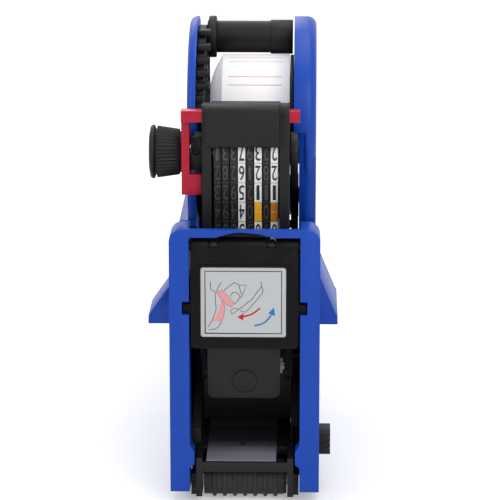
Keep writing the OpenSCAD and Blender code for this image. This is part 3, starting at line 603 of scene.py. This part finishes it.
def draw_line(name, points):
    bpy.ops.object.select_all(action="DESELECT")
    bpy.ops.mesh.primitive_plane_add(size=0.0001, location=points[0])
    line = bpy.context.object
    line.name = name
    apply_place(line)
    bpy.ops.object.mode_set(mode="EDIT")
    bpy.ops.mesh.select_all(action="SELECT")
    bpy.ops.mesh.merge(type="CENTER")
    for before, after in zip(points, points[1:]):
        step = [after[i] - before[i] for i in range(3)]
        bpy.ops.mesh.extrude_vertices_move(TRANSFORM_OT_translate={"value": step})
    return line


roll = draw_line("label_roll_web", [(x, roll_y, roll_z + r) for x, r in outline + outline[:1]])
bpy.ops.mesh.select_all(action="SELECT")
bpy.ops.mesh.spin(steps=144, angle=2 * pi, center=(0, roll_y, roll_z), axis=(1, 0, 0))
bpy.ops.mesh.select_all(action="SELECT")
bpy.ops.mesh.remove_doubles(threshold=2e-6)
bpy.ops.mesh.normals_make_consistent(inside=False)
bpy.ops.object.mode_set(mode="OBJECT")
bpy.ops.object.shade_smooth_by_angle(angle=radians(30))
dress(roll, label_paper, "label_paper", "roll", "label_roll")


# Roll holder: the left disc with its ribbed rim, spindle and cross tube that swings up to load a roll.
# Black ABS; it turns on a steel pin behind the roll.
# The flange, the tube's collar and the top grip bar are made here; the solids lack them.
rounded("roll_holder", "roll_holder_moulding", 0.0003, abs_black)
rounded("roll_cross_tube", "roll_cross_tube_moulding", 0.0004, abs_black)
flange = round_bar(0.0208, 0.0011, (0.01475, roll_y, roll_z), 96)
tube_low, tube_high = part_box("roll_cross_tube")
tube_y, tube_z = [(tube_low[i] + tube_high[i]) / 2 for i in (1, 2)]
collar = round_bar(0.0072, 0.0027, (tube_low[0] + 0.0018, tube_y, tube_z), 64)
bar = block((-0.01485, -0.0398, 0.1472), (0.0043, 0.0044, 0.0020))
for piece, name, edge in ((flange, "roll_holder_flange", 0.0002), (collar, "cross_tube_collar", 0.0004),
                          (bar, "roll_holder_top_grip_bar", 0.0004)):
    piece.name = name
    ease_edges(piece, edge)
    bpy.ops.object.shade_smooth_by_angle(angle=crease)
    dress(piece, abs_black, "black_plastic", "holder")


# Label strip: the printed web from the roll down to the platen and out under the nose.
# The web's grey base colour is painted shade, with one dark rule and an eye mark, both made here.
# It is painted darker toward the rear, where the photo shows deep shade that these lamps don't give.
strip_paper = moulded("strip_web_grey_painted_shade", "#827E88", "#908C96", 0.5, 0.0015, 0.00003)
finish_node("label_strip", strip_paper)
strip_print = moulded("label_strip_print", "#1B191D", "#252328", 0.5, 0.0015, 0.00002)
strip_low, strip_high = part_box("label_strip")
strip_front = strip_low[1]
strip_top = max(v.co.z for v in frame["nodes"]["label_strip"].data.vertices
                if v.co.y < strip_front + 0.01)
tree = strip_paper.node_tree
skin = tree.nodes["Principled BSDF"]
tint = skin.inputs["Base Color"].links[0].from_node
place = add_node(tree, "ShaderNodeTexCoord")
axis = add_node(tree, "ShaderNodeSeparateXYZ", {}, {"Vector": (place, "Object")})
fade = {"From Min": strip_front + 0.007, "From Max": strip_front + 0.021, "To Min": 1.0, "To Max": 0.1}
lit = add_node(tree, "ShaderNodeMapRange", fade, {"Value": (axis, "Y")})
mixed = {"Fac": (lit, "Result"), "Color2": (tint, "Color")}
shaded = add_node(tree, "ShaderNodeMixRGB", {"Color1": (0, 0, 0, 1)}, mixed)
tree.links.new(shaded.outputs["Color"], skin.inputs["Base Color"])
marks = []
for sides, across, behind, wide, deep in ((4, 0.0012, 0.0155, 0.0190, 0.0004),
                                          (24, 0.0002, 0.0178, 0.0021, 0.0032)):
    bpy.ops.object.select_all(action="DESELECT")
    spot = ((strip_low[0] + strip_high[0]) / 2 + across, strip_front + behind, strip_top + 0.00002)
    bpy.ops.mesh.primitive_circle_add(vertices=sides, radius=0.5, fill_type="NGON", location=spot)
    mark = bpy.context.object
    corner = 2 ** 0.5 if sides == 4 else 1
    square_up = Matrix.Rotation(pi / sides, 4, "Z")
    mark.data.transform(Matrix.Diagonal((wide * corner, deep * corner, 1, 1)) @ square_up)
    apply_place(mark)
    bpy.ops.object.modifier_add(type="SOLIDIFY")
    mark.modifiers[-1].thickness = 0.00002
    bpy.ops.object.modifier_apply(modifier=mark.modifiers[-1].name)
    marks.append(mark)
dress(join(marks, "label_strip_rule_and_eye"), strip_print, "label_paper", "body")


# Inker: a flap and a swinging carrier on one hinge pin, with a foam roller that inks the figures.
# Flap and carrier are black ABS; the roller is open-cell foam, soaked blue-black, on a white core.
# The webs in the flap's notches and the buffer in the roof bar's arch are made here; the solids lack them.
abs_deep = moulded("abs_moulded_deep_black", "#050506", "#09090A", 0.46, 0.0007, 0.00004, 0.12)
rounded("ink_cover", "ink_cover_moulding", 0.0004, abs_deep)
steel_black = moulded("steel_black_oxide", "#0C0D0E", "#131416", 0.45, 0.0012, 0.00001)
finish_node("ink_hinge_pin", steel_black)
webs = []
for across in (-0.0102, 0.0085):
    webs.append(block((across, -0.09875, 0.0844), (0.0034, 0.0006, 0.0048)))
    ease_edges(webs[-1], 0.0002)
dress(join(webs, "ink_cover_notch_webs"), abs_deep, "black_plastic", "ink_flap")
buffer = arch_disc(arch_r - 0.00005, 0.0006, -0.09795)
cut_with(buffer, block((arch_x, -0.098, bar_under + 0.02), (0.04, 0.04, 0.04)), "INTERSECT")
bpy.ops.object.shade_smooth_by_angle(angle=crease)
buffer.name = "roof_arch_buffer"
dress(buffer, abs_deep, "black_plastic", "body")
rounded("ink_carrier", "ink_carrier_moulding", 0.0003, abs_black)
finish_node("ink_axle", zinc_steel)
finish_node("ink_roller_core", acetal_white)
ink_foam = bpy.data.materials.new("open_cell_foam_inked")
ink_foam.use_nodes = True
tree = ink_foam.node_tree
skin = tree.nodes["Principled BSDF"]
skin.inputs["Roughness"].default_value = 0.85
place = add_node(tree, "ShaderNodeTexCoord")
cells = add_node(tree, "ShaderNodeTexVoronoi", {"Scale": 1 / 0.0008}, {"Vector": (place, "Object")})
inks = {"Color1": linear("#0F0C1A"), "Color2": linear("#2C2546")}
tint = add_node(tree, "ShaderNodeMixRGB", inks, {"Fac": (cells, "Distance")})
relief = add_node(tree, "ShaderNodeBump", {"Strength": 0.8, "Distance": 0.0002}, {"Height": (cells, "Distance")})
tree.links.new(tint.outputs["Color"], skin.inputs["Base Color"])
tree.links.new(relief.outputs["Normal"], skin.inputs["Normal"])
finish_node("ink_roller", ink_foam)


# Cover label: a printed film label on the flap that shows, without words, how the flap swings.
# Grey polyester film with a dark frame, a line drawing of the flap and its roller, and two arrows.
label_film = moulded("polyester_film_grey", "#B4B7BA", "#C0C3C5", 0.34, 0.002, 0.00001)
print_dark = moulded("label_print_dark", "#17191C", "#212327", 0.4, 0.002, 0.00001)
print_red = moulded("label_print_red", "#B01722", "#BC2530", 0.4, 0.002, 0.00001)
print_pink = moulded("label_print_pale_red", "#D98F92", "#E09C9E", 0.4, 0.002, 0.00001)
print_blue = moulded("label_print_blue", "#0F6FB4", "#1C7CC0", 0.4, 0.002, 0.00001)
finish_node("ink_label", label_film)
label_low, label_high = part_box("ink_label")
print_y = label_low[1] - 0.00003


def on_label(u, v, lift=0.0):
    return (label_low[0] + u * (label_high[0] - label_low[0]), print_y - lift,
            label_low[2] + v * (label_high[2] - label_low[2]))


def stroke(name, spots, wide):
    draw_line(name, [on_label(u, v, 0.00003) for u, v in spots])
    bpy.ops.object.mode_set(mode="OBJECT")
    bpy.ops.object.convert(target="CURVE")
    line = bpy.context.object
    line.data.bevel_depth = wide / 2
    line.data.bevel_resolution = 1
    line.data.use_fill_caps = True
    bpy.ops.object.convert(target="MESH")
    line = bpy.context.object
    there, back = Matrix.Translation((0, -print_y, 0)), Matrix.Translation((0, print_y, 0))
    line.data.transform(back @ Matrix.Diagonal((1, 0.08, 1, 1)) @ there)
    return line


def patch(name, spots):
    face = draw_line(name, [on_label(u, v) for u, v in spots + spots[:1]])
    bpy.ops.mesh.select_all(action="SELECT")
    bpy.ops.mesh.remove_doubles(threshold=2e-6)
    bpy.ops.mesh.edge_face_add()
    bpy.ops.object.mode_set(mode="OBJECT")
    bpy.ops.object.modifier_add(type="SOLIDIFY")
    face.modifiers[-1].thickness = 0.00002
    face.modifiers[-1].offset = 0
    bpy.ops.object.modifier_apply(modifier=face.modifiers[-1].name)
    return face


edge = 0.052
border = [(edge, edge), (1 - edge, edge), (1 - edge, 1 - edge), (edge, 1 - edge), (edge, edge)]
dark = [stroke("frame", border, 0.00042)]
for spots in (
        [(0.706, 0.80), (0.713, 0.732), (0.731, 0.687), (0.722, 0.634), (0.624, 0.491), (0.545, 0.384),
         (0.509, 0.357), (0.466, 0.388)],
        [(0.713, 0.732), (0.599, 0.545), (0.48, 0.429), (0.366, 0.33), (0.348, 0.384), (0.394, 0.42),
         (0.452, 0.402)],
        [(0.394, 0.79), (0.272, 0.67)],
        [(0.394, 0.79), (0.45, 0.75), (0.538, 0.752), (0.487, 0.598), (0.394, 0.473)],
        [(0.448, 0.741), (0.482, 0.607)],
        [(0.351, 0.59), (0.372, 0.64), (0.412, 0.648), (0.448, 0.61), (0.461, 0.57)],
        [(0.115, 0.795), (0.118, 0.688), (0.172, 0.652), (0.172, 0.527), (0.183, 0.402), (0.143, 0.259),
         (0.086, 0.143)],
        [(0.19, 0.66), (0.2, 0.7), (0.246, 0.8)],
        [(0.24, 0.53), (0.285, 0.44), (0.268, 0.29), (0.215, 0.15), (0.17, 0.115), (0.09, 0.10)],
        [(0.15, 0.24), (0.21, 0.25), (0.245, 0.235)],
        [(0.183, 0.643), (0.251, 0.679), (0.387, 0.5), (0.366, 0.429), (0.294, 0.478), (0.183, 0.643)]):
    dark.append(stroke("drawn_line", spots, 0.0002))
dress(join(dark, "label_frame_and_drawing"), print_dark, "cover_label", "ink_flap")
pale = [patch("roller", [(0.183, 0.643), (0.251, 0.679), (0.387, 0.5), (0.366, 0.429), (0.294, 0.478)]),
        patch("finger", [(0.24, 0.53), (0.285, 0.44), (0.268, 0.29), (0.24, 0.22), (0.15, 0.24), (0.21, 0.36)])]
dress(join(pale, "label_pale_red_fields"), print_pink, "cover_label", "ink_flap")
for name, mat, shaft, head in (
        ("label_red_arrow", print_red,
         [(0.695, 0.42), (0.652, 0.375), (0.602, 0.335), (0.545, 0.308), (0.49, 0.296)],
         [(0.43, 0.29), (0.505, 0.345), (0.498, 0.24)]),
        ("label_blue_arrow", print_blue,
         [(0.63, 0.165), (0.695, 0.183), (0.753, 0.214), (0.796, 0.268), (0.826, 0.32)],
         [(0.86, 0.43), (0.79, 0.345), (0.872, 0.305)])):
    dress(join([stroke("shaft", shaft, 0.00062), patch("head", head)], name), mat, "cover_label", "ink_flap")
